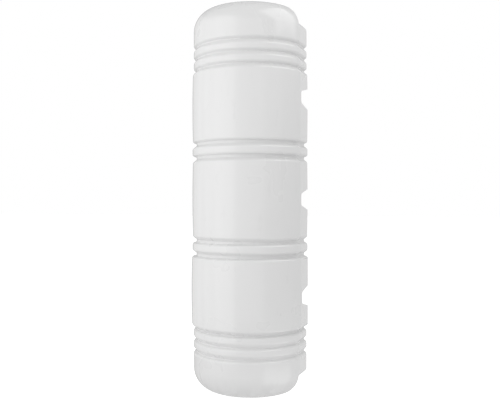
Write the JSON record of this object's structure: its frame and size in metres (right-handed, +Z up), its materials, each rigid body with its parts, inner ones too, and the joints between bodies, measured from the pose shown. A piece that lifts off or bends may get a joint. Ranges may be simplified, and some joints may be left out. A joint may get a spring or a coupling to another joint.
{
  "type": "water filled barrier",
  "caption": "Tall hollow moulded barrier module with a round ribbed front, a flat back crossed by strap channels, and a filler and a drain for water ballast.",
  "frame": {"origin": "on the ground, at the middle of the footprint's bounding box", "axes": "+Z up, -Y towards the round front, +Y towards the flat back, +X to the right seen from the front"},
  "size_m": [0.3242, 0.2039, 1.07],
  "materials": {
    "shell": "glossy moulded polyethylene, near white",
    "bush": "satin moulded plastic, light grey",
    "plug": "satin moulded plastic, dark grey",
    "gasket": "matt black rubber"
  },
  "bodies": {
    "barrier": {"front_shell": "shell", "rear_shell": "shell", "fill_bush": "bush", "drain_bush": "bush"},
    "fill_seal": {"fill_gasket": "gasket"},
    "fill_cap": {"fill_plug": "plug"},
    "drain_seal": {"drain_gasket": "gasket"},
    "drain_cap": {"drain_plug": "plug"}
  },
  "joints": [
    {"name": "fill_plug_lift", "type": "slide", "parent": "barrier", "child": "fill_seal", "axis": [0, 0, 1], "range_m": [0, 0.0176]},
    {"name": "fill_plug_turn", "type": "hinge", "parent": "fill_seal", "child": "fill_cap", "pos_m": [0, -0.01201, 1.0435], "axis": [0, 0, 1], "range_deg": [0, 1260]},
    {"name": "drain_plug_lift", "type": "slide", "parent": "barrier", "child": "drain_seal", "axis": [0, 1, 0], "range_m": [0, 0.0121]},
    {"name": "drain_plug_turn", "type": "hinge", "parent": "drain_seal", "child": "drain_cap", "pos_m": [0, 0.02999, 0.027], "axis": [0, 1, 0], "range_deg": [0, 1440]}
  ],
  "couplings": [
    {"joint": "fill_plug_lift", "follows": "fill_plug_turn", "m_per_rad": 0.00079577},
    {"joint": "drain_plug_lift", "follows": "drain_plug_turn", "m_per_rad": 0.00047746}
  ]
}
